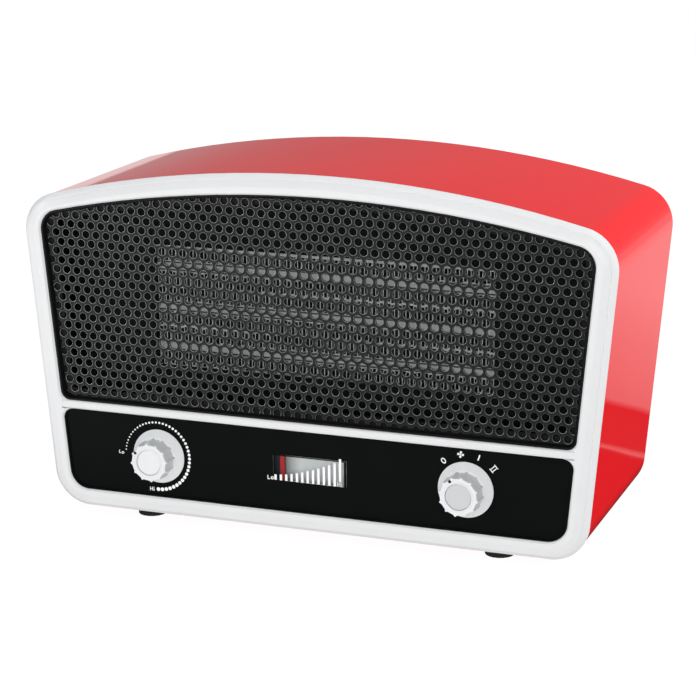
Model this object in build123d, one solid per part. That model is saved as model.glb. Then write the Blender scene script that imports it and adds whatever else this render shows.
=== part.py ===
from build123d import *
import os
from math import atan, ceil, cos, pi, radians, sin, sqrt, tan

os.makedirs("parts", exist_ok=True)

# Millimetres. X runs to the right, Y to the back and Z up. The origin is on the floor, in the
# middle of the heater's width and depth. A "depth" is measured backwards from the raised face
# of the bezel, so knobs have negative depths.

# Outline of the face, seen from the front. The sides lean outwards towards the top.
side_lean = 5.12
face_half_width = 123.3
face_height = 156.6
face_crown_radius = 507.0
face_top_corner = 15.5
face_bottom_corner = 15.0
rim_width = 2.5
foot_height = 4.5

# Openings of the bezel
lip_width = 6.6
bottom_lip = 6.1
opening_crown_radius = 560.0
opening_top_corner = 9.3
bar_corner = 4.5
panel_bottom_corner = 9.3
bar_height = 4.1
panel_height = 38.0

# Bezel section, front to back
face_slope_width = 3.2
face_slope_depth = 1.0
rim_step = 1.4
rim_chamfer = 2.0
lip_chamfer = 0.8
bezel_thickness = 4.2
bar_front = 0.2
bar_recess = 2.2
bar_round = 1.3
spigot_depth = 8.0
spigot_wall = 1.8
spigot_play = 0.2

# Housing shell and rear cover
body_depth = 108.0
shell_inset = 0.3
shell_wall = 2.2
shell_rear_chamfer = 1.2
cover_thickness = 2.3
cover_recess = 2.0
cover_play = 0.3
lug_size = 8.0
lug_length = 12.0
lug_wall_distance = 3.6
cover_lug_heights = (22.0, 128.0)
cover_lug_crown_x = 72.0

# Air inlet of the rear cover: a round field of level slots with upright bridges
inlet_radius = 55.0
slot_height = 4.2
slot_pitch = 9.2
slot_shortest = 8.0
inlet_bridge = 4.0

# Perforated front sheet. The real sheet has 4 mm holes at 5 mm pitch; the model has the same
# staggered pattern at three times the size, six-sided, so that the sheet stays light.
sheet_thickness = 1.0
sheet_gap = 1.8
hole_pitch = 15.0
hole_across = 11.8
hole_rows_turn = -1.15
hole_edge_margin = 0.9

# Black inner frame behind the sheet, its collar that lines the opening, and the plate that
# closes it
collar_front = 0.9
collar_wall = 0.8
collar_play = 0.1
frame_overlap = 1.8
frame_ledge = 5.0
frame_plate = 2.0
frame_wall = 1.8
duct_depth = 18.0
baffle_thickness = 2.0
frame_boss_radius = 3.0
frame_boss_inset = 2.6
top_boss_drop = 11.0

# Screws. Small fasteners, their holes and their bosses are six-sided.
fastener_sides = 6
screw_radius = 1.5
screw_head_radius = 2.8
screw_head_height = 1.3
screw_bite = 8.0

# Ceramic heating element: stacked units of fins, electrode, ceramic bar, electrode, fins
heater_above_face = 91.6
unit_count = 3
unit_pitch = 18.6
bar_length = 161.0
ceramic_height = 2.8
electrode_thickness = 0.8
element_front_gap = 0.5
element_depth = 14.5
heater_depth = 17.0
heater_end_wall = 7.5
heater_side_wall = 5.0
heater_play = 0.1
fin_pitch = 16.0
fin_sheet_rise = 1.5
tab_length = 9.0
tab_width = 6.0
tab_clear = 0.1

# Thermal cut-out on top of the heating element
cutout_radius = 8.0
cutout_height = 5.5
cutout_cap_width = 9.0
cutout_cap_height = 2.5
cutout_x = 46.0

# Fan housing. Its plenum takes what depth is left between the heater and the fan's ring.
fan_radius = 53.0
fan_tip_gap = 2.0
housing_wall = 2.0
plenum_sides = 8
fan_ring_depth = 20.0
motor_cover_gap = 2.3
hub_radius = 17.0
hub_wall = 2.0
hub_depth = 13.0
blade_count = 7
blade_thickness = 1.6
blade_root_chord = 15.0
blade_tip_chord = 24.0
blade_angle = 32.0
impeller_inset = 3.0

# Motor
bracket_thickness = 3.0
bracket_arm_width = 9.0
bracket_hub_radius = 30.0
bracket_hub_sides = 8
bracket_arm_angles = (45.0, 135.0)
bracket_bore_radius = 13.0
bridge_height = 4.2
bridge_sheet = 1.5
bridge_width = 14.0
core_width = 58.0
core_limb = 12.0
core_depth = 11.0
core_below_axis = 19.0
core_bore_web = 2.5
core_window_height = 10.0
core_window_width = 32.0
rotor_radius = 12.5
rotor_gap = 0.5
coil_swell = 4.0
coil_chamfer = 1.5
coil_play = 0.3
motor_shaft_radius = 2.0
bearing_radius = 6.0
bearing_depth = 4.0
shaft_play = 0.08
motor_bolt_x = 22.0
nut_radius = 3.0
nut_height = 2.0

# Control panel
panel_face_depth = 1.6
panel_play = 0.25
panel_edge_front = 0.7
panel_edge_width = 0.8
panel_flange = 1.8
panel_flange_depth = 1.6
panel_flange_inside = 4.0
knob_x = 73.1
knob_above_face = 25.8
bush_radius = 5.0
bush_length = 2.0

# Window with its light plate and the needle
window_width = 35.2
window_height = 12.0
window_above_face = 26.3
window_flange = 2.0
window_flange_depth = 1.0
window_play = 0.1
light_plate_depth = 7.4
light_plate_thickness = 1.0
light_plate_above = 0.7
light_box_side = 2.4
light_box_ledge = 1.0
light_box_wall = 1.6
light_plate_play = 0.1
needle_width = 1.9
needle_thickness = 1.0
needle_under_window = 0.5

# Rack and pinion between the thermostat's shaft and the needle
tooth_module = 0.9
pinion_teeth = 15
pressure_angle = 20.0
tooth_backlash = 0.16
rack_addendum_share = 0.75
tooth_root_share = 1.15
pinion_tip_share = 0.9
pinion_width = 2.4
pinion_hub_radius = 4.6
pinion_hub_length = 2.6
rack_front = 6.4
rack_thickness = 3.4
rack_body_height = 3.6
rack_end_margin = 7.0
slide_play = 0.3
rail_start_margin = 1.0
rail_thickness = 2.0
rail_end_gap = 6.0
hook_width = 6.0
hook_thickness = 1.4
keeper_thickness = 1.2
keeper_boss_radius = 2.6
keeper_screw_radius = 1.0
keeper_head_radius = 2.0
keeper_head_height = 1.0
keeper_inset = 3.0

# Knob travel. The photographed rest position is angle 0 of each knob.
needle_first_bar_x = -16.2
needle_rest_x = -14.4
needle_last_bar_x = 14.7

# Knobs
knob_gap = 0.6
skirt_radius = 12.15
skirt_edge = 0.9
skirt_rise = 2.3
grip_base_radius = 8.9
grip_top_radius = 8.5
knob_total = 11.6
ridge_count = 12
ridge_width = 1.2
ridge_height = 0.6
cap_radius = 5.7
cap_thickness = 1.0
cap_recess = 0.5
cap_play = 0.05
spindle_radius = 3.0
spindle_socket = 7.0
spindle_play = 0.1
spindle_flat = 0.6

# Thermostat and switch behind the panel
device_front = 14.0
device_width = 32.0
device_depth = 16.0
device_above = 12.0
device_below = 13.0
device_chamfer = 1.5
device_socket = 5.0
post_radius = 3.0
post_x = 12.0
post_drop = 9.0
terminal_width = 6.3
terminal_thickness = 0.8
terminal_length = 8.0
terminal_count = 3
terminal_pitch = 9.0

# Feet, bottom screws, terminal block, cord inlet
foot_radius = 7.0
foot_tip_radius = 6.6
foot_sides = 18
foot_stem_radius = 2.4
foot_head_radius = 3.2
foot_head_height = 1.4
foot_x = 84.3
front_foot_depth = 15.6
rear_foot_from_back = 16.0
bottom_screw_x = 58.0
bottom_screw_block = 8.0
bottom_screw_block_depth = 6.0
bottom_screw_block_height = 6.0
block_x = 62.0
block_from_back = 34.0
block_size = (32.0, 16.0, 11.0)
block_groove = 1.5
block_pole_count = 3
inlet_bore_radius = 3.8
inlet_body_radius = 6.5
inlet_flange_radius = 9.0
inlet_flange_depth = 1.6
inlet_nut_radius = 9.5
inlet_nut_depth = 4.0
inlet_body_depth = 12.0
inlet_x = 84.0
inlet_z = 30.0

edge_reach = 0.001

# Worked-out places
lean = tan(radians(side_lean))
face_bottom = foot_height + rim_width
face_crown = face_bottom + face_height
knob_height = face_bottom + knob_above_face
heater_height = face_bottom + heater_above_face
window_z = face_bottom + window_above_face
opening_half_width = face_half_width - lip_width
opening_crown = face_crown - lip_width
panel_bottom = face_bottom + bottom_lip
bar_bottom = panel_bottom + panel_height
bar_top = bar_bottom + bar_height
sheet_front = bezel_thickness - sheet_thickness
frame_back = bezel_thickness + frame_plate
baffle_back = duct_depth + baffle_thickness
heater_back = baffle_back + heater_depth
cover_back = body_depth - cover_recess
cover_front = cover_back - cover_thickness
motor_back = cover_front - motor_cover_gap
core_back = motor_back - bridge_height
core_front = core_back - core_depth
bracket_back = core_front - bridge_height
fan_ring_back = bracket_back - bracket_thickness
plenum_back = fan_ring_back - fan_ring_depth
knob_back = panel_face_depth - knob_gap
knob_front = knob_back - knob_total
shell_bottom = foot_height + shell_inset
floor_z = shell_bottom + shell_wall
element_height = unit_count * unit_pitch
element_front = baffle_back + element_front_gap
fin_height = (unit_pitch - ceramic_height - 2 * electrode_thickness) / 2
fan_ring_radius = fan_radius + fan_tip_gap
pitch_radius = tooth_module * pinion_teeth / 2
pitch_line = knob_height + pitch_radius
rack_root = pitch_line + tooth_module * tooth_root_share
rack_tip = pitch_line - tooth_module * rack_addendum_share
rack_top = rack_root + rack_body_height
rack_back = rack_front + rack_thickness
turn_to_low = (needle_first_bar_x - needle_rest_x) / pitch_radius
turn_to_high = (needle_last_bar_x - needle_rest_x) / pitch_radius
face_y = -(body_depth - knob_front) / 2 - knob_front


def front_sketch(half_width, bottom, crown, crown_radius, top_corner, bottom_corner):
    """Outline with leaning sides and an arched top; half_width is taken at floor level."""
    centre = crown - crown_radius
    share = half_width * lean - centre
    reach = half_width ** 2 + centre ** 2 - crown_radius ** 2
    corner_z = (sqrt(share ** 2 - (lean ** 2 + 1) * reach) - share) / (lean ** 2 + 1)
    corner_x = half_width + lean * corner_z
    base_x = half_width + lean * bottom
    outline = [
        Line((-base_x, bottom), (base_x, bottom)),
        Line((base_x, bottom), (corner_x, corner_z)),
        ThreePointArc((corner_x, corner_z), (0, crown), (-corner_x, corner_z)),
        Line((-corner_x, corner_z), (-base_x, bottom)),
    ]
    sketch = make_face(outline)
    sketch = fillet(sketch.vertices().sort_by(Axis.Y)[-2:], top_corner)
    return fillet(sketch.vertices().sort_by(Axis.Y)[:2], bottom_corner)


def grown(sketch, amount):
    """The sketch with its outline moved outwards, or inwards where amount is negative."""
    return offset(sketch, amount=amount)


def slab(sketch, front, back):
    """Solid of a front-view sketch between two depths."""
    return extrude(Plane.XZ.offset(-face_y - front) * sketch, amount=back - front, dir=(0, 1, 0))


def rod(x, z, radius, front, back):
    """Round bar that runs from front to back."""
    return slab(Pos(x, z) * Circle(radius), front, back)


def block(x_low, x_high, z_low, z_high, front, back):
    """Box given by its limits, with depths for its front and back."""
    middle = Pos((x_low + x_high) / 2, (z_low + z_high) / 2)
    return slab(middle * Rectangle(x_high - x_low, z_high - z_low), front, back)


def upright(x, depth, radius, bottom, top):
    """Round bar that stands up."""
    middle = Pos(x, face_y + depth, (bottom + top) / 2)
    return middle * Cylinder(radius, top - bottom)


def front_edges(solid, depth):
    """Edges that lie flat at one depth."""
    place = face_y + depth
    return solid.edges().filter_by_position(Axis.Y, place - edge_reach, place + edge_reach)


def shaft_bore(x, z, radius, front, back):
    """Six-sided hole whose flats hold a round bar."""
    hole = RegularPolygon(radius, fastener_sides, major_radius=False)
    return slab(Pos(x, z) * hole, front, back)


def stud(x, z, radius, front, back):
    """Six-sided bar that runs from front to back."""
    return slab(Pos(x, z) * RegularPolygon(radius, fastener_sides), front, back)


def upright_stud(x, depth, radius, bottom, top):
    """Six-sided bar that stands up."""
    bar = extrude(RegularPolygon(radius, fastener_sides), amount=top - bottom)
    return Pos(x, face_y + depth, bottom) * bar


def screw(x, z, seat, length):
    """Pan-head screw along the depth; its head is behind the seat and its shank in front."""
    head = stud(x, z, screw_head_radius, seat, seat + screw_head_height)
    return head + stud(x, z, screw_radius, seat - length, seat)


def both_sides(points):
    """The points and their mirror images across the middle."""
    return [(side * x, z) for x, z in points for side in (-1, 1)]


def crown_z(x, crown, radius):
    """Height of an arched top at a distance from the middle."""
    return crown - radius + sqrt(radius ** 2 - x ** 2)


def save(name, *solids):
    """Write one sub-part, which may be a group of separate solids."""
    shape = solids[0] if len(solids) == 1 else Compound(children=list(solids))
    export_step(shape, "parts/" + name + ".step")


def save_group(name, solids):
    """Write several like pieces as one sub-part."""
    save(name, *[piece.solids()[0] for piece in solids])


face_sketch = front_sketch(
    face_half_width, face_bottom, face_crown, face_crown_radius, face_top_corner, face_bottom_corner
)
rim_sketch = grown(face_sketch, rim_width)
shell_sketch = grown(rim_sketch, -shell_inset)
shell_inner_sketch = grown(shell_sketch, -shell_wall)
opening_sketch = front_sketch(
    opening_half_width, bar_top, opening_crown, opening_crown_radius, opening_top_corner, bar_corner
)


def panel_sketch():
    """Opening below the bar: leaning sides, level top with small corners."""
    top_x = opening_half_width + lean * bar_bottom
    base_x = opening_half_width + lean * panel_bottom
    corners = [
        (-base_x, panel_bottom), (base_x, panel_bottom), (top_x, bar_bottom), (-top_x, bar_bottom),
    ]
    sketch = make_face(Polyline(*corners, close=True))
    sketch = fillet(sketch.vertices().sort_by(Axis.Y)[-2:], bar_corner)
    return fillet(sketch.vertices().sort_by(Axis.Y)[:2], panel_bottom_corner)


panel_opening = panel_sketch()


def make_bezel():
    """Moulded front ring: bevelled rim, sloped face, two openings, spigot into the shell."""
    rim = slab(rim_sketch, rim_step, bezel_thickness)
    rim = chamfer(front_edges(rim, rim_step), rim_chamfer)
    face = slab(face_sketch, 0, bezel_thickness)
    face = chamfer(front_edges(face, 0), face_slope_depth, face_slope_width)
    body = rim + face
    for opening in (opening_sketch, panel_opening):
        body -= slab(opening, 0, bezel_thickness)
    outer = grown(shell_inner_sketch, -spigot_play)
    spigot_back = bezel_thickness + spigot_depth
    body += slab(outer - grown(outer, -spigot_wall), bezel_thickness, spigot_back)
    bar_x = opening_half_width + lean * bar_bottom
    body = chamfer(lip_edges(body), lip_chamfer)
    body -= block(-bar_x, bar_x, bar_bottom, bar_top, 0, bar_recess)
    for x in (-bottom_screw_x, bottom_screw_x):
        half = bottom_screw_block / 2
        foot = floor_z + spigot_play
        top = foot + bottom_screw_block_height
        front = spigot_back - bottom_screw_block_depth
        body += block(x - half, x + half, foot, top, front, spigot_back)
        body -= upright_stud(x, bottom_screw_depth(), screw_radius, foot, top)
    return body


def lip_edges(body):
    """Front edges of the two openings."""
    rings = body.faces().filter_by_position(Axis.Y, face_y - edge_reach, face_y + edge_reach)
    return [edge for ring in rings for wire in ring.inner_wires() for edge in wire.edges()]


def bottom_screw_depth():
    """Depth of the two screws that hold the bezel from below."""
    return bezel_thickness + spigot_depth - bottom_screw_block_depth / 2


def make_trim_bar():
    """Half-round strip in front of the bar; its ends lap on to the lips at the sides."""
    half = opening_half_width + lean * bar_bottom
    strip = block(-half, half, bar_bottom, bar_top, bar_front, bar_recess)
    long_edges = front_edges(strip, bar_front).filter_by(Axis.X)
    return fillet(long_edges, bar_round)


def frame_boss_places():
    """Corners of the duct where the closing plate is screwed on."""
    low = bar_top + frame_boss_inset
    high = opening_crown - top_boss_drop - opening_top_corner
    edge = opening_half_width - frame_boss_inset
    return both_sides([(edge + lean * low, low), (edge + lean * high, high)])


def make_inner_frame():
    """Black ledge that carries the sheet, a collar round it and a duct wall to the heater."""
    outer = grown(opening_sketch, frame_overlap)
    frame = slab(outer - grown(opening_sketch, -frame_ledge), bezel_thickness, frame_back)
    collar = grown(opening_sketch, -collar_play)
    frame += slab(collar - grown(collar, -collar_wall), collar_front, bezel_thickness)
    frame += slab(outer - grown(outer, -frame_wall), frame_back, duct_depth)
    for x, z in frame_boss_places():
        frame += stud(x, z, frame_boss_radius, frame_back, duct_depth)
        frame -= stud(x, z, screw_radius, duct_depth - screw_bite, duct_depth)
    return frame


def hole_centres():
    """Staggered rows of holes, a little turned against the frame, kept inside the sheet."""
    field = grown(opening_sketch, -sheet_gap - hole_edge_margin - hole_across / 2).face()
    row_rise = hole_pitch * sqrt(3) / 2
    turn = radians(hole_rows_turn)
    middle = (bar_top + opening_crown) / 2
    columns = ceil(face_half_width / hole_pitch) + 1
    rows = ceil((opening_crown - bar_top) / row_rise / 2) + 1
    centres = []
    for row in range(-rows, rows + 1):
        for column in range(-columns, columns + 1):
            along = (column + 0.5 * (row % 2)) * hole_pitch
            up = row * row_rise
            x = along * cos(turn) - up * sin(turn)
            z = along * sin(turn) + up * cos(turn) + middle
            if field.is_inside((x, z, 0)):
                centres.append((x, z))
    return centres


def make_grille():
    """Perforated steel sheet."""
    hole = RegularPolygon(hole_across / 2, 6, major_radius=False)
    holes = [Pos(x, z) * hole for x, z in hole_centres()]
    return slab(grown(opening_sketch, -sheet_gap) - holes, sheet_front, bezel_thickness)


def make_baffle():
    """Black plate that closes the duct round the heating element."""
    plate = slab(grown(opening_sketch, frame_overlap), duct_depth, baffle_back)
    plate -= element_window(duct_depth, baffle_back)
    for x, z in frame_boss_places() + heater_screw_places():
        plate -= stud(x, z, screw_radius, duct_depth, baffle_back)
    return plate


def element_window(front, back):
    """Clear space round the stack of fins and bars."""
    half_x = bar_length / 2 + heater_play
    half_z = element_height / 2 + heater_play
    return block(-half_x, half_x, heater_height - half_z, heater_height + half_z, front, back)


def heater_screw_places():
    """Through-screws in the end walls of the heater frame."""
    x = (bar_length + heater_end_wall) / 2
    z = element_height / 2 - heater_side_wall
    return both_sides([(x, heater_height + z), (x, heater_height - z)])


def heater_outline():
    """Outer size of the heater frame."""
    width = bar_length + 2 * heater_end_wall
    return Pos(0, heater_height) * Rectangle(width, element_height + 2 * heater_side_wall)


def unit_heights():
    """Middle height of each unit of the stack."""
    return [
        heater_height + (unit - (unit_count - 1) / 2) * unit_pitch for unit in range(unit_count)
    ]


def make_heater_frame():
    """Moulded frame round the stack, open at the front and back, with slots for the tabs."""
    frame = slab(heater_outline(), baffle_back, heater_back)
    frame -= element_window(baffle_back, heater_back)
    for x, z in heater_screw_places():
        frame -= stud(x, z, screw_radius, baffle_back, heater_back)
    for tab in tab_blocks(tab_clear):
        frame -= tab
    return frame


def electrode_heights():
    """Lower face of each electrode, one under and one over each ceramic bar."""
    low = [z - ceramic_height / 2 - electrode_thickness for z in unit_heights()]
    high = [z + ceramic_height / 2 for z in unit_heights()]
    return low + high


def tab_blocks(clearance):
    """Connection tabs of the electrodes, which stand out of the right end of the frame."""
    start = bar_length / 2
    middle = element_front + element_depth / 2
    return [
        block(start, start + tab_length, z - clearance, z + electrode_thickness + clearance,
              middle - tab_width / 2 - clearance, middle + tab_width / 2 + clearance)
        for z in electrode_heights()
    ]


def make_electrodes():
    """Aluminium plates on both sides of each ceramic bar."""
    half = bar_length / 2
    back = element_front + element_depth
    plates = []
    for z, tab in zip(electrode_heights(), tab_blocks(0)):
        plates.append(block(-half, half, z, z + electrode_thickness, element_front, back) + tab)
    return plates


def make_ceramic_bars():
    """Heating bars."""
    half = bar_length / 2
    back = element_front + element_depth
    return [
        block(-half, half, z - ceramic_height / 2, z + ceramic_height / 2, element_front, back)
        for z in unit_heights()
    ]


def fin_strip(bottom):
    """One folded aluminium strip: a zigzag that touches the plates above and below."""
    folds = int(bar_length / fin_pitch) * 2
    start = -folds * fin_pitch / 4
    rise = fin_height - fin_sheet_rise
    low = [(start + fold * fin_pitch / 2, bottom + rise * (fold % 2)) for fold in range(folds + 1)]
    high = [(x, z + fin_sheet_rise) for x, z in reversed(low)]
    strip = make_face(Polyline(*low, *high, close=True))
    return slab(strip, element_front, element_front + element_depth)


def make_fins():
    """Two fin strips for each unit."""
    strips = []
    for z in unit_heights():
        strips.append(fin_strip(z - unit_pitch / 2))
        strips.append(fin_strip(z + unit_pitch / 2 - fin_height))
    return strips


def make_cutout():
    """Bimetal disc switch that lies on the heater frame."""
    seat = heater_height + element_height / 2 + heater_side_wall
    depth = baffle_back + heater_depth / 2
    body = upright(cutout_x, depth, cutout_radius, seat, seat + cutout_height)
    top = seat + cutout_height
    half = cutout_cap_width / 2
    return body + block(cutout_x - half, cutout_x + half, top, top + cutout_cap_height,
                        depth - half, depth + half)


def plenum_sketch():
    """Outline of the fan housing where it widens to take in the heater frame."""
    width = bar_length + 2 * heater_end_wall + 2 * frame_boss_radius
    height = element_height + 2 * heater_side_wall
    middle = RegularPolygon(
        fan_ring_radius + housing_wall, plenum_sides, major_radius=False, rotation=180 / plenum_sides
    )
    return Pos(0, heater_height) * (middle + Rectangle(width, height))


def bracket_screw_places():
    """Ears outside the fan ring, on the diagonals."""
    reach = (fan_ring_radius + housing_wall + screw_radius) / sqrt(2)
    return both_sides([(reach, heater_height + reach), (reach, heater_height - reach)])


def make_fan_housing():
    """Plenum behind the heating element that narrows to the fan's ring."""
    outline = plenum_sketch()
    housing = slab(outline, heater_back, plenum_back)
    cavity = grown(outline, -housing_wall)
    housing -= slab(cavity, heater_back + housing_wall, plenum_back - housing_wall)
    housing -= element_window(heater_back, heater_back + housing_wall)
    ring_front = plenum_back - housing_wall
    ring_outer = fan_ring_radius + housing_wall
    housing += rod(0, heater_height, ring_outer, ring_front, fan_ring_back)
    for x, z in bracket_screw_places():
        housing += stud(x, z, frame_boss_radius, plenum_back, fan_ring_back)
    housing -= rod(0, heater_height, fan_ring_radius, ring_front, fan_ring_back)
    for x, z in bracket_screw_places():
        housing -= stud(x, z, screw_radius, fan_ring_back - screw_bite, fan_ring_back)
    for x, z in heater_screw_places():
        housing -= stud(x, z, screw_radius, heater_back, heater_back + housing_wall)
    return housing


def make_bracket():
    """Cross of four arms that carries the motor behind the fan."""
    span = 2 * (fan_ring_radius + housing_wall + screw_radius + frame_boss_radius)
    sketch = RegularPolygon(bracket_hub_radius, bracket_hub_sides, major_radius=False)
    for angle in bracket_arm_angles:
        sketch += Rot(0, 0, angle) * Rectangle(span, bracket_arm_width)
    sketch -= RegularPolygon(bracket_bore_radius, bracket_hub_sides, major_radius=False)
    bracket = slab(Pos(0, heater_height) * sketch, fan_ring_back, bracket_back)
    for x, z in bracket_screw_places() + motor_bolt_places():
        bracket -= stud(x, z, screw_radius, fan_ring_back, bracket_back)
    return bracket


def motor_bolt_places():
    """Two bolts hold the motor together and to its bracket."""
    return [(-motor_bolt_x, heater_height), (motor_bolt_x, heater_height)]


def make_bridge(strip_front, strip_back, feet_front, feet_back, cup_front, cup_back):
    """Pressed strip across the motor's core with a bearing cup and two feet."""
    end = motor_bolt_x + bearing_radius
    low = heater_height - bridge_width / 2
    high = heater_height + bridge_width / 2
    bridge = block(-end, end, low, high, strip_front, strip_back)
    inner = motor_bolt_x - bearing_radius
    bridge += block(-end, -inner, low, high, feet_front, feet_back)
    bridge += block(inner, end, low, high, feet_front, feet_back)
    bridge += stud(0, heater_height, bearing_radius, cup_front, cup_back)
    bridge -= rod(0, heater_height, motor_shaft_radius + shaft_play, bracket_back, motor_back)
    for x, z in motor_bolt_places():
        bridge -= stud(x, z, screw_radius, bracket_back, motor_back)
    return bridge


def make_front_bridge():
    """Front bearing of the motor."""
    back = bracket_back + bridge_sheet
    cup_back = bracket_back + bearing_depth - shaft_play
    return make_bridge(bracket_back, back, back, core_front, bracket_back, cup_back)


def make_rear_bridge():
    """Rear bearing of the motor."""
    front = motor_back - bridge_sheet
    cup_front = motor_back - bearing_depth + shaft_play
    return make_bridge(front, motor_back, core_back, front, cup_front, motor_back)


def core_window():
    """Heights of the core's window above the rotor."""
    low = heater_height + rotor_radius + rotor_gap + core_bore_web
    return low, low + core_window_height


def make_core():
    """Stack of laminations with the rotor's bore below and the coil's window above."""
    window_low, window_high = core_window()
    half = core_width / 2
    bottom = heater_height - core_below_axis
    core = block(-half, half, bottom, window_high + core_limb, core_front, core_back)
    side = core_window_width / 2
    core -= block(-side, side, window_low, window_high, core_front, core_back)
    core -= rod(0, heater_height, rotor_radius + rotor_gap, core_front, core_back)
    for x, z in motor_bolt_places():
        core -= stud(x, z, screw_radius, core_front, core_back)
    return core


def make_coil():
    """Winding round the core's upper limb."""
    window_low, window_high = core_window()
    half = core_window_width / 2 - coil_play
    wound = core_window_height - coil_play
    top = window_high + core_limb
    coil = block(-half, half, window_low + coil_play, top + wound,
                 core_front - coil_swell, core_back + coil_swell)
    coil = chamfer(coil.edges().filter_by(Axis.X), coil_chamfer)
    return coil - block(-half, half, window_high, top, core_front, core_back)


def make_motor_bolts():
    """Long bolts with their heads in front of the bracket."""
    bolts = []
    for x, z in motor_bolt_places():
        head = stud(x, z, screw_head_radius, fan_ring_back - screw_head_height, fan_ring_back)
        bolts.append(head + stud(x, z, screw_radius, fan_ring_back, motor_back + nut_height))
    return bolts


def make_motor_nuts():
    """Six-sided nuts behind the rear bearing strip."""
    ring = RegularPolygon(nut_radius, 6) - RegularPolygon(screw_radius, fastener_sides)
    return [
        slab(Pos(x, z) * ring, motor_back, motor_back + nut_height) for x, z in motor_bolt_places()
    ]


def turned(x, z, points):
    """Solid turned about a line along the depth; points are pairs of radius and depth."""
    half_section = make_face(Polyline(*points, close=True))
    return Pos(x, face_y, z) * revolve(half_section, Axis.Y, 360)


def impeller_depths():
    """Front and back of the impeller's hub."""
    front = plenum_back + impeller_inset
    return front, front + hub_depth


def make_blade():
    """One blade, straight up: a slanted plate that widens towards its tip."""
    front, back = impeller_depths()
    root = hub_radius - hub_wall / 2
    outline = make_face(Polyline(
        (-blade_root_chord / 2, root), (blade_root_chord / 2, root),
        (blade_tip_chord / 2, fan_radius), (-blade_tip_chord / 2, fan_radius), close=True,
    ))
    along, across = cos(radians(blade_angle)), sin(radians(blade_angle))
    centre = (0, face_y + (front + back) / 2, heater_height)
    slant = Plane(origin=centre, x_dir=(along, across, 0), z_dir=(across, -along, 0))
    return extrude(slant * outline, amount=blade_thickness / 2, both=True)


def make_impeller():
    """Hub with a boss for the shaft and its blades."""
    front, back = impeller_depths()
    inside = rod(0, heater_height, hub_radius - hub_wall, front + hub_wall, back)
    impeller = rod(0, heater_height, hub_radius, front, back)
    blade = make_blade()
    axis = Axis((0, 0, heater_height), (0, 1, 0))
    for number in range(blade_count):
        impeller += blade.rotate(axis, 360 * number / blade_count)
    impeller -= inside
    impeller += stud(0, heater_height, bearing_radius, front + hub_wall, back)
    return impeller - shaft_bore(0, heater_height, motor_shaft_radius, front, back)


def make_shaft():
    """Motor shaft from the impeller to the rear bearing."""
    front, back = impeller_depths()
    return rod(0, heater_height, motor_shaft_radius, front, motor_back)


def make_rotor():
    """Squirrel-cage rotor."""
    rotor = rod(0, heater_height, rotor_radius, core_front, core_back)
    return rotor - shaft_bore(0, heater_height, motor_shaft_radius, core_front, core_back)


def inner_half_width(z):
    """Half the space inside the shell at a height, on its straight sides."""
    outside = face_half_width + lean * z
    return outside + (rim_width - shell_inset - shell_wall) * sqrt(1 + lean ** 2)


def lug_places():
    """Lugs inside the shell's rear edge for the cover's screws."""
    sides = [(inner_half_width(z) - lug_wall_distance, z) for z in cover_lug_heights]
    growth = rim_width - shell_inset - shell_wall
    crown = crown_z(cover_lug_crown_x, face_crown + growth, face_crown_radius + growth)
    return both_sides(sides + [(cover_lug_crown_x, crown - lug_wall_distance)])


def foot_places():
    """Across and depth of each foot."""
    rear = body_depth - rear_foot_from_back
    return [(x, depth) for x in (-foot_x, foot_x) for depth in (front_foot_depth, rear)]


def make_shell():
    """One-piece sleeve, open at the front and back, with lugs for the rear cover."""
    shell = slab(shell_sketch, bezel_thickness, body_depth)
    shell = chamfer(front_edges(shell, body_depth), shell_rear_chamfer)
    shell -= slab(shell_inner_sketch, bezel_thickness, body_depth)
    sleeve = slab(shell_sketch, bezel_thickness, body_depth)
    half = lug_size / 2
    for x, z in lug_places():
        lug = block(x - half, x + half, z - half, z + half, cover_front - lug_length, cover_front)
        shell += lug & sleeve
        shell -= stud(x, z, screw_radius, cover_front - screw_bite, cover_front)
    for x, depth in foot_places():
        shell -= upright_stud(x, depth, foot_stem_radius, shell_bottom, floor_z)
    for x in (-bottom_screw_x, bottom_screw_x):
        shell -= upright_stud(x, bottom_screw_depth(), screw_radius, shell_bottom, floor_z)
    return shell


def inlet_slots():
    """Level slots that fill a circle, split by an upright bridge in the middle."""
    rows = int(inlet_radius / slot_pitch)
    slots = []
    for row in range(-rows, rows + 1):
        reach = sqrt(inlet_radius ** 2 - (row * slot_pitch) ** 2)
        length = reach - inlet_bridge / 2
        if length > slot_shortest:
            middle = inlet_bridge / 2 + length / 2
            z = heater_height + row * slot_pitch
            slots += [Pos(side * middle, z) * Rectangle(length, slot_height) for side in (-1, 1)]
    return slots


def make_rear_cover():
    """Flat cover inside the shell's rear edge, with the air inlet and the cord's hole."""
    outline = grown(shell_inner_sketch, -cover_play)
    cover = slab(outline - inlet_slots(), cover_front, cover_back)
    for x, z in lug_places():
        cover -= stud(x, z, screw_radius, cover_front, cover_back)
    return cover - stud(inlet_x, inlet_z, inlet_body_radius, cover_front, cover_back)


def make_cord_inlet():
    """Empty gland in the rear cover."""
    front = cover_back - inlet_body_depth
    gland = stud(inlet_x, inlet_z, inlet_body_radius, front, cover_back)
    gland += rod(inlet_x, inlet_z, inlet_flange_radius, cover_back, cover_back + inlet_flange_depth)
    return gland - rod(inlet_x, inlet_z, inlet_bore_radius, front, cover_back + inlet_flange_depth)


def make_inlet_nut():
    """Six-sided nut that holds the gland inside the cover."""
    nut_front = cover_front - inlet_nut_depth
    nut = stud(inlet_x, inlet_z, inlet_nut_radius, nut_front, cover_front)
    return nut - stud(inlet_x, inlet_z, inlet_body_radius, nut_front, cover_front)


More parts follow.
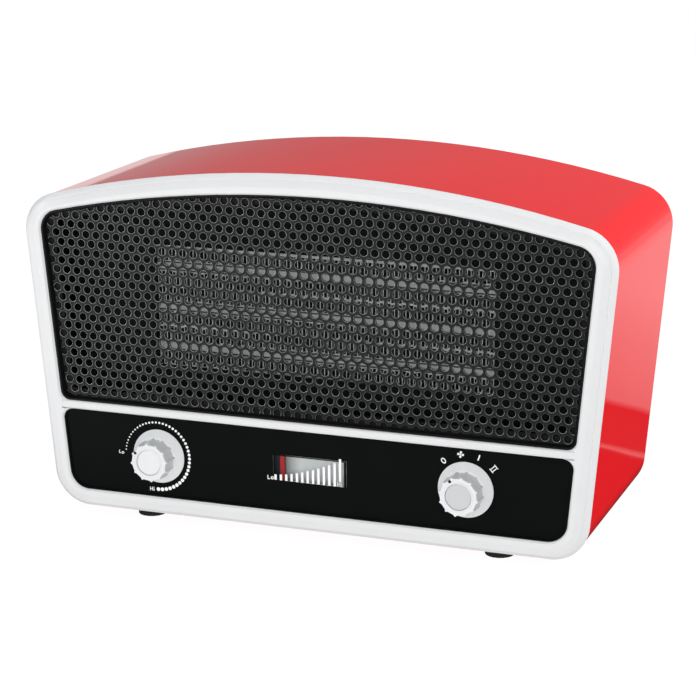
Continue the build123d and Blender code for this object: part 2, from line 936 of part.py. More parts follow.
def make_foot(x, depth):
    """Rubber foot whose stem is pushed through the shell."""
    place = Pos(x, face_y + depth, 0)
    tip = place * RegularPolygon(foot_tip_radius, foot_sides)
    top = place * Pos(0, 0, shell_bottom) * RegularPolygon(foot_radius, foot_sides)
    pad = loft([tip, top], ruled=True)
    pad += upright_stud(x, depth, foot_stem_radius, shell_bottom, floor_z)
    return pad + upright_stud(x, depth, foot_head_radius, floor_z, floor_z + foot_head_height)


def make_bottom_screw(x):
    """Screw from below through the shell into the bezel."""
    top = floor_z + spigot_play + bottom_screw_block_height
    depth = bottom_screw_depth()
    shank = upright_stud(x, depth, screw_radius, shell_bottom, top)
    seat = shell_bottom - screw_head_height
    return shank + upright_stud(x, depth, screw_head_radius, seat, shell_bottom)


def make_terminal_block():
    """Three-pole block on the shell's floor where the supply is joined."""
    width, depth, height = block_size
    back = body_depth - block_from_back
    left = block_x - width / 2
    body = block(left, left + width, floor_z, floor_z + height, back - depth, back)
    pole = width / block_pole_count
    for number in range(1, block_pole_count):
        x = left + number * pole
        body -= block(x - block_groove / 2, x + block_groove / 2, floor_z + height / 2,
                      floor_z + height, back - depth, back)
    return body


def window_sketch(grow):
    """Window of the scale."""
    return Pos(0, window_z) * Rectangle(window_width + 2 * grow, window_height + 2 * grow)


def light_box():
    """Inner half-width, bottom and top of the box behind the window."""
    half = window_width / 2 + light_box_side
    bottom = window_z - window_height / 2 - light_box_side
    top = window_z + window_height / 2 + light_plate_above
    return half, bottom, top


def slide_reach():
    """Ends of the rack's teeth, at rest, so that they stay in mesh over the whole travel."""
    pitch = pi * tooth_module
    left = int((turn_to_high * pitch_radius + rack_end_margin) / pitch)
    right = int((-turn_to_low * pitch_radius + rack_end_margin) / pitch)
    return left, right


def rail_ends():
    """Left and right end of the rail that guides the rack."""
    pitch = pi * tooth_module
    left, right = slide_reach()
    first = -knob_x - left * pitch + turn_to_low * pitch_radius - rail_start_margin
    last = needle_first_bar_x - needle_width / 2 - rail_end_gap
    return first, last


def keeper_boss_places():
    """Two screw bosses above the rail."""
    first, last = rail_ends()
    z = rack_top + slide_play + rail_thickness + keeper_boss_radius / 2
    device_side = -knob_x + device_width / 2 + keeper_inset
    return [(device_side, z), (last - keeper_inset, z)]


def make_control_panel():
    """Gloss panel in the lower opening with everything that its back carries."""
    face = grown(panel_opening, -panel_play)
    panel = slab(face, panel_face_depth, bezel_thickness)
    raised = face - grown(face, -panel_edge_width)
    panel += slab(raised, panel_edge_front, panel_face_depth)
    edge = grown(panel_opening, panel_flange) - grown(panel_opening, -panel_flange_inside)
    panel += slab(edge, bezel_thickness, bezel_thickness + panel_flange_depth)
    panel += light_box_walls()
    panel += slide_rails()
    for x in (-knob_x, knob_x):
        panel += stud(x, knob_height, bush_radius, bezel_thickness, bezel_thickness + bush_length)
    for x, z in post_places():
        panel += stud(x, z, post_radius, bezel_thickness, device_front)
        panel -= stud(x, z, screw_radius, device_front - screw_bite, device_front)
    bore = spindle_radius + spindle_play
    for x in (-knob_x, knob_x):
        panel -= rod(x, knob_height, bore, panel_face_depth, bezel_thickness + bush_length)
    for x, z in keeper_boss_places():
        panel -= stud(x, z, keeper_screw_radius, bezel_thickness, rack_back + slide_play)
    panel -= slab(window_sketch(window_play), panel_face_depth, bezel_thickness)
    pocket = bezel_thickness - window_flange_depth
    return panel - slab(window_sketch(window_flange + window_play), pocket, bezel_thickness)


def light_box_walls():
    """Two sides and a floor with a ledge in front of the light plate."""
    half, bottom, top = light_box()
    outer = half + light_box_wall
    ledge = half - light_box_ledge
    plate_back = light_plate_depth + light_plate_thickness
    walls = block(-outer, outer, bottom - light_box_wall, top, bezel_thickness, plate_back)
    walls -= block(-ledge, ledge, bottom + light_box_ledge, top, bezel_thickness, plate_back)
    return walls - block(-half, half, bottom, top, light_plate_depth, plate_back)


def slide_rails():
    """Rail over the rack, rib in front of it, hook under its arm and bosses for the keeper."""
    first, last = rail_ends()
    top_low = rack_top + slide_play
    back = rack_back + slide_play
    rails = block(first, last, top_low, top_low + rail_thickness, bezel_thickness, back)
    rib_back = rack_front - slide_play
    rib_high = rack_top - slide_play
    rails += block(first, last, rib_high - rail_thickness, rib_high, bezel_thickness, rib_back)
    hook_high = rack_root - slide_play
    rails += block(last - hook_width, last, hook_high - hook_thickness, hook_high,
                   bezel_thickness, back)
    for x, z in keeper_boss_places():
        rails += stud(x, z, keeper_boss_radius, bezel_thickness, back)
    return rails - block(first, last, rack_root, top_low, rib_back, back)


def make_lens():
    """Clear window with a flange behind the panel."""
    pocket = bezel_thickness - window_flange_depth
    lens = slab(window_sketch(0), panel_face_depth, bezel_thickness)
    return lens + slab(window_sketch(window_flange), pocket, bezel_thickness)


def make_light_plate():
    """Pale plate behind the needle."""
    half, bottom, top = light_box()
    side = half - light_plate_play
    back = light_plate_depth + light_plate_thickness
    return block(-side, side, bottom, top, light_plate_depth, back)


def make_keeper():
    """Strip that stops the rack from coming off its rail."""
    (left, z), (right, other_z) = keeper_boss_places()
    front = rack_back + slide_play
    back = front + keeper_thickness
    low = rack_root + rack_body_height / 2
    high = z + keeper_boss_radius
    strip = block(left - keeper_boss_radius, right + keeper_boss_radius, low, high, front, back)
    for x in (left, right):
        strip -= stud(x, z, keeper_screw_radius, front, back)
    return strip


def make_keeper_screws():
    """Two small screws for the keeper."""
    seat = rack_back + slide_play + keeper_thickness
    screws = []
    for x, z in keeper_boss_places():
        shank = stud(x, z, keeper_screw_radius, bezel_thickness, seat)
        screws.append(shank + stud(x, z, keeper_head_radius, seat, seat + keeper_head_height))
    return screws


def rack_sketch():
    """Toothed bar with an arm that reaches to the needle; the teeth point down."""
    pitch = pi * tooth_module
    slope = tan(radians(pressure_angle))
    half = pitch / 4 - tooth_backlash / 2
    left, right = slide_reach()
    outline = [(-knob_x - left * pitch, rack_top), (-knob_x - left * pitch, rack_root)]
    for number in range(-left, right):
        middle = -knob_x + (number + 0.5) * pitch
        root_half = half + slope * (rack_root - pitch_line)
        tip_half = half - slope * (pitch_line - rack_tip)
        outline += [(middle - root_half, rack_root), (middle - tip_half, rack_tip)]
        outline += [(middle + tip_half, rack_tip), (middle + root_half, rack_root)]
    arm_end = needle_rest_x + needle_width / 2
    outline += [(arm_end, rack_root), (arm_end, rack_top)]
    return make_face(Polyline(*outline, close=True))


def make_rack():
    """Sliding rack."""
    return slab(rack_sketch(), rack_front, rack_back)


def make_needle():
    """Red pointer that hangs from the arm in front of the light plate."""
    low = window_z - window_height / 2 - needle_under_window
    half = needle_width / 2
    return block(needle_rest_x - half, needle_rest_x + half, low, rack_top,
                 rack_front - needle_thickness, rack_front)


def pinion_sketch():
    """Involute teeth, with one tooth pointing up."""
    angle = radians(pressure_angle)
    base = pitch_radius * cos(angle)
    tip = pitch_radius + tooth_module * pinion_tip_share
    root = pitch_radius - tooth_module
    half = (pi * tooth_module / 2 - tooth_backlash) / (2 * pitch_radius)
    spread = half + tan(angle) - angle
    flank = [(root, spread)]
    for radius in (pitch_radius, tip):
        roll = sqrt((radius / base) ** 2 - 1)
        flank.append((radius, spread - (roll - atan(roll))))
    outline = []
    for tooth in range(pinion_teeth):
        centre = pi / 2 - 2 * pi * tooth / pinion_teeth
        rising = [(radius, centre + turn) for radius, turn in flank]
        falling = [(radius, centre - turn) for radius, turn in reversed(flank)]
        outline += [(radius * cos(turn), radius * sin(turn)) for radius, turn in rising + falling]
    return make_face(Polyline(*outline, close=True))


def spindle_sketch():
    """Round spindle with a flat underneath."""
    width = 2 * spindle_radius
    return Circle(spindle_radius) - Pos(0, spindle_flat - width) * Rectangle(width, width)


def pinion_depths():
    """Front of the teeth, back of the teeth and back of the hub."""
    front = bezel_thickness + bush_length + 2 * slide_play
    return front, front + pinion_width, front + pinion_width + pinion_hub_length


def make_pinion():
    """Pinion on the thermostat's spindle."""
    front, back, hub_back = pinion_depths()
    centre = Pos(-knob_x, knob_height)
    pinion = slab(centre * pinion_sketch(), front, back)
    pinion += stud(-knob_x, knob_height, pinion_hub_radius, back, hub_back)
    return pinion - slab(centre * spindle_sketch(), front, hub_back)


def make_spindle(x):
    """Spindle from the knob's socket to the device behind the panel."""
    front = knob_back - spindle_socket
    back = device_front + device_socket - slide_play
    return slab(Pos(x, knob_height) * spindle_sketch(), front, back)


def make_knob(x):
    """Knob with a conical skirt, a ridged grip and a recess for its cap."""
    skirt_front = knob_back - skirt_edge
    grip_back = skirt_front - skirt_rise
    knob = turned(x, knob_height, [
        (0, knob_back), (skirt_radius, knob_back), (skirt_radius, skirt_front),
        (grip_base_radius + ridge_height, grip_back), (0, grip_back),
    ])
    grip = RegularPolygon(grip_base_radius, ridge_count)
    for ridge in range(ridge_count):
        turn = Rot(0, 0, 360 / ridge_count * ridge)
        grip += turn * Pos(grip_base_radius, 0) * Rectangle(2 * ridge_height, ridge_width)
    taper = turned(x, knob_height, [
        (0, grip_back), (grip_base_radius + ridge_height, grip_back),
        (grip_top_radius + ridge_height, knob_front), (0, knob_front),
    ])
    knob += slab(Pos(x, knob_height) * grip, knob_front, grip_back) & taper
    recess_back = knob_front + cap_recess + cap_thickness
    knob -= rod(x, knob_height, cap_radius + cap_play, knob_front, recess_back)
    return knob - slab(Pos(x, knob_height) * spindle_sketch(), knob_back - spindle_socket, knob_back)


def make_knob_cap(x):
    """Disc let into the knob's end."""
    front = knob_front + cap_recess
    return rod(x, knob_height, cap_radius, front, front + cap_thickness)


def post_places():
    """Two screw posts for each device behind the panel."""
    z = knob_height - post_drop
    return both_sides([(knob_x - post_x, z), (knob_x + post_x, z)])


def make_device(x):
    """Moulded case of the thermostat or the switch, with a socket for the spindle."""
    half = device_width / 2
    low = knob_height - device_below
    high = knob_height + device_above
    back = device_front + device_depth
    case = block(x - half, x + half, low, high, device_front, back)
    case = chamfer(case.edges().filter_by(Axis.Y), device_chamfer)
    socket = spindle_radius + spindle_play
    case -= shaft_bore(x, knob_height, socket, device_front, device_front + device_socket)
    for place_x, z in post_places():
        case -= stud(place_x, z, screw_radius, device_front, back)
    return case


def device_screws(side):
    """Long screws through a device into its posts."""
    seat = device_front + device_depth
    places = [(x, z) for x, z in post_places() if x * side > 0]
    return [screw(x, z, seat, device_depth + screw_bite) for x, z in places]


def make_terminals(x):
    """Blade terminals at the back of a device."""
    back = device_front + device_depth
    blades = []
    for number in range(terminal_count):
        middle = x + (number - (terminal_count - 1) / 2) * terminal_pitch
        low = knob_height + device_above / 2 - terminal_width / 2
        high = low + terminal_width
        half = terminal_thickness / 2
        blades.append(block(middle - half, middle + half, low, high, back, back + terminal_length))
    return blades


save("front_bezel", make_bezel())
save("trim_bar", make_trim_bar())
save("inner_frame", make_inner_frame())
save("front_grille", make_grille())
save("heater_baffle", make_baffle())
save("heater_frame", make_heater_frame())
save_group("electrode_plates", make_electrodes())
save_group("ceramic_bars", make_ceramic_bars())
save_group("heat_fins", make_fins())
save("thermal_cutout", make_cutout())
save("fan_housing", make_fan_housing())
save("motor_bracket", make_bracket())
save("front_bearing_bridge", make_front_bridge())
save("rear_bearing_bridge", make_rear_bridge())
save("motor_core", make_core())
save("motor_coil", make_coil())
save_group("motor_bolts", make_motor_bolts())
save_group("motor_nuts", make_motor_nuts())
save("fan_impeller", make_impeller())
save("motor_shaft", make_shaft())
save("motor_rotor", make_rotor())
save("body_shell", make_shell())
save("rear_cover", make_rear_cover())
save_group("rear_cover_screws", [screw(x, z, cover_back, cover_thickness + screw_bite)
                                 for x, z in lug_places()])
save("cord_inlet", make_cord_inlet())
save("cord_inlet_nut", make_inlet_nut())
save_group("rubber_feet", [make_foot(x, depth) for x, depth in foot_places()])
save_group("bottom_screws", [make_bottom_screw(x) for x in (-bottom_screw_x, bottom_screw_x)])
save("terminal_block", make_terminal_block())
save("control_panel", make_control_panel())
save("window_lens", make_lens())
save("light_plate", make_light_plate())
save("rack_keeper", make_keeper())
save_group("keeper_screws", make_keeper_screws())
save("needle_rack", make_rack())
save("needle", make_needle())
save("thermostat_pinion", make_pinion())
save("thermostat_spindle", make_spindle(-knob_x))
save("switch_spindle", make_spindle(knob_x))
save("thermostat_knob", make_knob(-knob_x))
save("switch_knob", make_knob(knob_x))
save("thermostat_knob_cap", make_knob_cap(-knob_x))
save("switch_knob_cap", make_knob_cap(knob_x))
save("thermostat_body", make_device(-knob_x))
save("switch_body", make_device(knob_x))
save_group("thermostat_terminals", make_terminals(-knob_x))
save_group("switch_terminals", make_terminals(knob_x))
save_group("device_screws", device_screws(-1) + device_screws(1))
save_group("baffle_screws", [screw(x, z, baffle_back, baffle_thickness + screw_bite)
                             for x, z in frame_boss_places()])
save_group("heater_screws", [screw(x, z, heater_back + housing_wall, housing_wall + heater_depth
                                   + baffle_thickness) for x, z in heater_screw_places()])
save_group("bracket_screws", [screw(x, z, bracket_back, bracket_thickness + screw_bite)
                              for x, z in bracket_screw_places()])
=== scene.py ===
from math import atan2, cos, pi, radians, sin, sqrt, tan

import bmesh
import bpy
from mathutils import Matrix, Vector


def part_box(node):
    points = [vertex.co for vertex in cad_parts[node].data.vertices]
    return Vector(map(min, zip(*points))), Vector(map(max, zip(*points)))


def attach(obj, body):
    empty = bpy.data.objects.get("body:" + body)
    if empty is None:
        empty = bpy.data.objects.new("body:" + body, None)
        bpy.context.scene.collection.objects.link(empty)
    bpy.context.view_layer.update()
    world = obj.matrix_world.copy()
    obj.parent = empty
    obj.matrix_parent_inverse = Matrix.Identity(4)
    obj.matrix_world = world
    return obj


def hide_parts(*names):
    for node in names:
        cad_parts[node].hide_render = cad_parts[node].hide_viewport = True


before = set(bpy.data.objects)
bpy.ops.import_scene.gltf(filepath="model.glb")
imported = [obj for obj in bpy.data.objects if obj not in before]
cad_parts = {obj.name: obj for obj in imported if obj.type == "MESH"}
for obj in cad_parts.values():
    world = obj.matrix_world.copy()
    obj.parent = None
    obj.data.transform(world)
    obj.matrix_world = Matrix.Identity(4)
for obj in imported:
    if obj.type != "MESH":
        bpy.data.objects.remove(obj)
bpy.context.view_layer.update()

# Metres and radians, in the row frame: X to the right, Y to the back, Z up. An angle on a dial is
# measured clockwise from straight up, seen from the front.

# Perforated sheet. Its width is given where its leaning sides would reach the floor.
side_lean = radians(5.12)
sheet_floor_half_width = 0.1149
sheet_crown_radius = 0.5582
sheet_top_corner = 0.0075
sheet_low_corner = 0.0027
sheet_sharp_turn = radians(60)
corner_steps = 8
crown_steps = 40
hole_pitch = 0.00502
hole_row = 0.00427
hole_row_shift = 0.00254
hole_radius = 0.00178
hole_round = 0.0002
hole_sides = 16
hole_turn = -0.0239
hole_centre = (-0.00486, 0.1005)

# A face on the rounded edge of a hole has a normal whose Y lies between these. These faces carry
# the painted highlight.
hole_edge_facing = (-0.99, -0.1)

# Heating element
element_bars = 3
fin_leg_pitch = 0.00175
fin_sheet = 0.00042
fin_bend = 0.0003
fin_band = 0.00028
clip_overhang = 0.0004
clip_height = 0.0012
clip_sheet = 0.0004

# A face of the fins that looks to a side, up or down has a normal whose Y is smaller than this;
# such faces are painted dark as shade
shade_facing_limit = 0.5

# Knobs
knob_steps = 180
knob_sharp_turn = radians(28)
skirt_radius = 0.0126
skirt_edge = 0.0009
skirt_rise = 0.0023
skirt_round = 0.0003
grip_base = 0.0089
grip_tip = 0.0086
grip_round = 0.00035
grip_sections = (0.35, 0.7, 1.0)
rim_bends = (radians(30), radians(60), radians(90))
flat_count = 12
ridge_half_angle = radians(4.2)
ridge_height = 0.00055
ridge_end_bend = radians(150)
ring_inner = 0.0059
ring_outer = 0.0068
ring_rise = 0.0004
rim_setback = 0.0002
dot_radius = 0.00068
dot_place = 0.0077
dot_sink = 0.00013
dot_sides = 24
thermostat_dot = radians(-58)
switch_dot = radians(-29)
thermostat_ridge = radians(-6)
switch_ridge = radians(9)

# Section of the ring round a knob's cap, in ring rises: how far behind its front, and how far
# outside its outer and inner radius
ring_outer_section = ((0.625, 0.5), (0.75, 0.0), (1 / 3, -0.5), (0.0, -1.0))
ring_inner_section = ((0.0, 0.5), (0.5, 0.0))

# Roundings added to moulded edges
edge_roundings = {"front_bezel": 0.00025, "trim_bar": 0.0002, "control_panel": 0.00015}
rounding_steps = 2
rounding_turn = radians(30)
weld_distance = 0.00001

# Print. The window's mask is thinner than the bars on it. A line's corners stand out from its
# middle by no more than half its width over mitre_limit.
print_thickness = 0.00005
print_sink = 0.00003
mask_thickness = 0.000025
mitre_limit = 0.5

# Words in letter heights: strokes, and rings as a width and a middle
words = {
    "Lo": {
        "strokes": (((-0.9, 0.5), (-0.9, -0.5), (-0.3, -0.5)),),
        "rings": ((0.65, 0.35, -0.17),),
    },
    "Hi": {
        "strokes": (
            ((-0.6, 0.5), (-0.6, -0.5)),
            ((0.02, 0.5), (0.02, -0.5)),
            ((-0.6, 0.0), (0.02, 0.0)),
            ((0.42, 0.12), (0.42, -0.5)),
            ((0.42, 0.5), (0.42, 0.34)),
        ),
        "rings": (),
    },
}
letter_sides = 14

# Scale of the thermostat. A word's row is its shift to the right and up, its turn, its height and
# the width of its lines.
scale_dots = 42
scale_dot_sides = 14
scale_radius = 0.0159
scale_shift = (-0.0011, -0.00035)
scale_start = radians(-84)
scale_end = radians(180.5)
scale_first = 0.0003
scale_last = 0.00092
scale_spreading = 0.13
scale_low = (-0.0180, 0.0002, radians(8), 0.0014, 0.00028)
scale_high = (-0.0031, -scale_radius - 0.0001, 0.0, 0.0018, 0.00036)

# Signs of the switch, for off, fan, heat one and heat two. Their strokes are in sign heights.
mark_angles = (radians(-40), radians(-10), radians(19), radians(47))
mark_radius = 0.0165
mark_shift = (0.0002, -0.0008)
mark_height = 0.0027
off_width = 0.6 * mark_height
off_height = 0.85 * mark_height
off_line = 0.00045
off_sides = 20
fan_reach = 0.575 * mark_height
one_line = 1.3 * off_line
one_strokes = (((0.0, 0.5), (0.0, -0.5)),)
two_line = 0.85 * off_line
two_strokes = (
    ((-0.24, 0.55), (-0.24, -0.55)),
    ((0.24, 0.55), (0.24, -0.55)),
    ((-0.45, 0.55), (0.45, 0.55)),
    ((-0.45, -0.55), (0.45, -0.55)),
)

# Fan sign: corners of a blade, as shares of its reach and dial angles in degrees
blade_count = 4
blade_corners = ((0.55, -12), (0.95, -4), (1.0, 16), (0.92, 36), (0.7, 48), (0.42, 44))

# Scale on the window. The last bar is lifted to make room for the word Hi.
bar_count = 13
bar_first_x = -0.0162
bar_last_x = 0.0147
bar_width = 0.0011
bars_below_middle = 0.006
bar_foot = 0.0001
bar_shortest = 0.0025
bar_growth = 0.0093772
bar_curve = 1.6
last_bar_lift = 0.0023
last_bar_length = 0.0105
window_low = (-0.0022, 0.0011, 0.0, 0.0017, 0.00036)
window_high = (-0.0001, 0.0011, 0.0, 0.0019, 0.00034)
window_flange = 0.002
mask_right = 0.0011
mask_top = 0.0005

# Finishes. Most of a noise lies within its span.
noise_span = (0.3, 0.7)
patch_detail = 3.0
grain_detail = 2.0
roughness_swing = 0.15
line_waver = 0.4
groove_shade = 0.55
pane_tint = (0.95, 0.96, 0.97)
pane_roughness = 0.05
pane_index = 1.25
plate_dark = (0.03, 0.035, 0.04)
plate_pale = (0.82, 0.83, 0.79)
plate_fade = (0.08, 0.33)
plate_roughness = 0.5
plate_grain = 900.0
plate_relief = 0.00001

# Camera, fitted to the rows of holes and the outline in the photograph
camera_place = (0.34563, -0.91174, 0.33685)
camera_turn = radians(20.70)
camera_tilt = radians(-14.876)
camera_roll = radians(-0.481)
camera_lens = 113.91

# Floor as the camera and rough surfaces see it
full_white = (1, 1, 1, 1)
floor_half = 6.0
floor_reflects = 0.1
floor_glow = 0.96
floor_bounce = 0.85

# Floor in reflections, as stops of place and brightness: a table and what lies behind it, going
# back, and a card before the heater and left of it, from left to right
table_depth = 1.2
table_stops = ((0.0, 0.02), (0.113, 0.02), (0.118, 0.36), (0.124, 0.04), (0.17, 0.03),
               (0.174, 0.34), (0.367, 0.6), (0.667, 0.62), (1.0, 0.48))
table_waves = 12.0
table_bend = 0.045
card_span = (-1.0, 1.0)
card_stops = ((0.0, 0.8), (0.34, 0.8), (0.44, 0.27), (0.55, 0.1), (1.0, 0.04))
card_far_edge = (-0.05, -0.15)
card_right_edge = (-0.15, -0.25)

# Backdrop, and the studio that reflections see, from below the horizon to straight up
world_colour = (0.96, 0.98, 1.0)
world_light = 0.52
studio_span = (-0.2, 1.0)
studio_stops = ((0.167, 0.34), (0.242, 0.25), (0.375, 0.22), (0.475, 0.2), (0.533, 0.12),
                (0.667, 0.3), (1.0, 0.5))

# Lights: place, width, height, power in watts, and whether reflections show them
light_aim = (0, 0, 0.08)
lights = {
    "key": ((-1.45, -0.85, 0.6), 0.3, 0.3, 1.5, True),
    "right": ((0.8, 0.35, 0.3), 0.5, 0.5, 3.4, False),
    "top": ((0.45, 0.25, 0.95), 0.6, 0.6, 4.3, False),
    "front": ((0.15, -1.7, 0.25), 1.2, 0.8, 17.5, False),
}


def link(name, content):
    """A new object in the scene that holds a mesh, a camera or a light."""
    holder = bpy.data.objects.new(name, content)
    bpy.context.scene.collection.objects.link(holder)
    return holder


def from_bmesh(name, bm):
    """A new object that holds the faces of bm."""
    bmesh.ops.recalc_face_normals(bm, faces=bm.faces)
    mesh = bpy.data.meshes.new(name)
    bm.to_mesh(mesh)
    bm.free()
    return link(name, mesh)


def smooth(piece, turn):
    """Smooth shading, but with sharp edges where two faces turn as much as this or more."""
    bm = bmesh.new()
    bm.from_mesh(piece.data)
    for face in bm.faces:
        face.smooth = True
    for edge in bm.edges:
        edge.smooth = edge.calc_face_angle(0.0) < turn
    bm.to_mesh(piece.data)
    bm.free()


def dress(piece, material, body, replaced=()):
    """Gives a piece its finish and its body, and hides the nodes that it stands for."""
    piece.data.materials.clear()
    piece.data.materials.append(material)
    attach(piece, body)
    if replaced:
        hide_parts(*replaced)


def cut(piece, cutter):
    """Takes the cutter's solids out of the piece."""
    modifier = piece.modifiers.new("cut", "BOOLEAN")
    modifier.operation = "DIFFERENCE"
    modifier.solver = "MANIFOLD"
    modifier.object = cutter
    graph = bpy.context.evaluated_depsgraph_get()
    mesh = bpy.data.meshes.new_from_object(piece.evaluated_get(graph))
    piece.modifiers.remove(modifier)
    piece.data = mesh
    bpy.data.objects.remove(cutter)


def band(bm, loops):
    """Joins loops of equally many points by quads, and closes the first and last loop."""
    rings = [[bm.verts.new(point) for point in loop] for loop in loops]
    for near, far in zip(rings, rings[1:]):
        for index in range(len(near)):
            after = (index + 1) % len(near)
            bm.faces.new((near[index], near[after], far[after], far[index]))
    bm.faces.new(rings[0])
    bm.faces.new(rings[-1])


def prism(bm, outline, front, back):
    """Solid of a front-view outline between two depths along Y."""
    band(bm, [[(x, front, z) for x, z in outline], [(x, back, z) for x, z in outline]])


def middle(low, high):
    """Middle of a box in a front view."""
    return (low.x + high.x) / 2, (low.z + high.z) / 2


def on_dial(x, z, radius, angle):
    """Point round a middle, at a radius and a dial angle."""
    return x + radius * sin(angle), z + radius * cos(angle)


def rectangle(left, right, bottom, top):
    """Front-view outline of an upright rectangle."""
    return [(left, bottom), (right, bottom), (right, top), (left, top)]


def oval(x, z, width, height, sides):
    """Front-view outline of an upright oval."""
    return [
        (x + width / 2 * sin(2 * pi * step / sides), z + height / 2 * cos(2 * pi * step / sides))
        for step in range(sides)
    ]


def circle(x, z, radius, sides):
    """Front-view outline of a circle."""
    return oval(x, z, 2 * radius, 2 * radius, sides)


def circle_loops(x, z, profile, sides):
    """Circles round one middle, for a profile of depths and radii."""
    return [
        [(px, y, pz) for px, pz in circle(x, z, radius, sides)]
        for y, radius in profile
    ]


def ribbon(bm, path, width, front, back, closed=False):
    """A strip of even width along a front-view path, between two depths along Y."""
    count = len(path)
    left, right = [], []
    for index, (x, z) in enumerate(path):
        before = path[index - 1] if index or closed else path[0]
        after = path[(index + 1) % count] if index < count - 1 or closed else path[-1]
        along_in = (Vector((x, z)) - Vector(before)).normalized()
        along_out = (Vector(after) - Vector((x, z))).normalized()
        along = (along_in + along_out).normalized()
        straight = along.dot(along_out if along_out.length else along_in)
        reach = width / 2 / max(mitre_limit, straight)
        left.append((x - along.y * reach, z + along.x * reach))
        right.append((x + along.y * reach, z - along.x * reach))
    corners = [
        [bm.verts.new((x, y, z)) for x, z in side]
        for side, y in ((left, front), (right, front), (right, back), (left, back))
    ]
    for index in range(count if closed else count - 1):
        after = (index + 1) % count
        for one, two in zip(corners, corners[1:] + corners[:1]):
            bm.faces.new((one[index], one[after], two[after], two[index]))
    if not closed:
        bm.faces.new([side[0] for side in corners])
        bm.faces.new([side[-1] for side in corners])


# Shader nodes


def axes(tree, kind):
    """Object or generated coordinates, split into X, Y and Z."""
    place = tree.nodes.new("ShaderNodeTexCoord")
    split = tree.nodes.new("ShaderNodeSeparateXYZ")
    tree.links.new(place.outputs[kind], split.inputs["Vector"])
    return split.outputs


def noise(tree, scale, detail):
    """Noise on the object's own coordinates; scale is in waves per metre."""
    place = tree.nodes.new("ShaderNodeTexCoord")
    texture = tree.nodes.new("ShaderNodeTexNoise")
    texture.inputs["Scale"].default_value = scale
    texture.inputs["Detail"].default_value = detail
    tree.links.new(place.outputs["Object"], texture.inputs["Vector"])
    return texture.outputs["Fac"]


def scaled(tree, value, start, end, low=0.0, high=1.0):
    """Goes from low to high while the value goes from start to end, and stays there beyond."""
    node = tree.nodes.new("ShaderNodeMapRange")
    node.inputs["From Min"].default_value = start
    node.inputs["From Max"].default_value = end
    node.inputs["To Min"].default_value = low
    node.inputs["To Max"].default_value = high
    tree.links.new(value, node.inputs["Value"])
    return node.outputs["Result"]


def ramp(tree, value, stops):
    """Colour that follows a value through (place, colour) stops."""
    node = tree.nodes.new("ShaderNodeValToRGB")
    points = node.color_ramp.elements
    points.remove(points[1])
    first_place, first_colour = stops[0]
    points[0].position = first_place
    points[0].color = (*first_colour, 1)
    for place, colour in stops[1:]:
        points.new(place).color = (*colour, 1)
    tree.links.new(value, node.inputs["Fac"])
    return node.outputs["Color"]


def grey_ramp(tree, value, stops):
    """Grey that follows a value through (place, brightness) stops."""
    return ramp(tree, value, [(place, (level, level, level)) for place, level in stops])


def tint(tree, value, low, high, span=noise_span):
    """Colour that goes from low to high over a span of the value."""
    return ramp(tree, value, list(zip(span, (low, high))))


def bump(tree, shader, value, height):
    """Relief of the given height in metres."""
    node = tree.nodes.new("ShaderNodeBump")
    node.inputs["Distance"].default_value = height
    tree.links.new(value, node.inputs["Height"])
    tree.links.new(node.outputs["Normal"], shader.inputs["Normal"])


def mixed(tree, share, other, own):
    """Shader that goes from other to own while the share goes from 0 to 1."""
    mix = tree.nodes.new("ShaderNodeMixShader")
    tree.links.new(share, mix.inputs["Fac"])
    tree.links.new(other, mix.inputs[1])
    tree.links.new(own, mix.inputs[2])
    return mix.outputs["Shader"]


def by_ray(tree, kind, other, own):
    """Shader that is own for rays of one kind and other for the rest."""
    path = tree.nodes.new("ShaderNodeLightPath")
    return mixed(tree, path.outputs[kind], other, own)


def glow(tree, kind, colour):
    """Emission or Background shader with a colour that another node gives."""
    node = tree.nodes.new("ShaderNode" + kind)
    tree.links.new(colour, node.inputs["Color"])
    return node.outputs[kind]


# Materials


def new_material(name, colour, roughness, metallic=0.0, specular=0.5):
    """A principled material and its main shader node."""
    material = bpy.data.materials.new(name)
    material.use_nodes = True
    shader = material.node_tree.nodes["Principled BSDF"]
    shader.inputs["Base Color"].default_value = (*colour, 1)
    shader.inputs["Roughness"].default_value = roughness
    shader.inputs["Metallic"].default_value = metallic
    shader.inputs["Specular IOR Level"].default_value = specular
    return material, shader


def shaded(colour, factor):
    """The colour, darker or brighter by a factor."""
    return tuple(channel * factor for channel in colour)


def finish(name, colour, roughness, grain, height, contrast=0.06, patch=60.0, **settings):
    """Base colour in soft patches, uneven roughness and a fine relief."""
    material, shader = new_material(name, colour, roughness, **settings)
    tree = material.node_tree
    patches = noise(tree, patch, patch_detail)
    colours = tint(tree, patches, shaded(colour, 1 - contrast), shaded(colour, 1 + contrast))
    tree.links.new(colours, shader.inputs["Base Color"])
    fine = noise(tree, grain, grain_detail)
    least, most = roughness * (1 - roughness_swing), roughness * (1 + roughness_swing)
    tree.links.new(scaled(tree, fine, *noise_span, least, most), shader.inputs["Roughness"])
    bump(tree, shader, fine, height)
    return material


def pattern(name, colour, roughness, scale, direction, depth, **settings):
    """Even lines across the piece, as of wound wire or stacked sheets."""
    material, shader = new_material(name, colour, roughness, **settings)
    tree = material.node_tree
    place = tree.nodes.new("ShaderNodeTexCoord")
    wave = tree.nodes.new("ShaderNodeTexWave")
    wave.bands_direction = direction
    wave.inputs["Scale"].default_value = scale
    wave.inputs["Distortion"].default_value = line_waver
    tree.links.new(place.outputs["Object"], wave.inputs["Vector"])
    colours = tint(tree, wave.outputs["Fac"], shaded(colour, groove_shade), colour)
    tree.links.new(colours, shader.inputs["Base Color"])
    bump(tree, shader, wave.outputs["Fac"], depth)
    return material


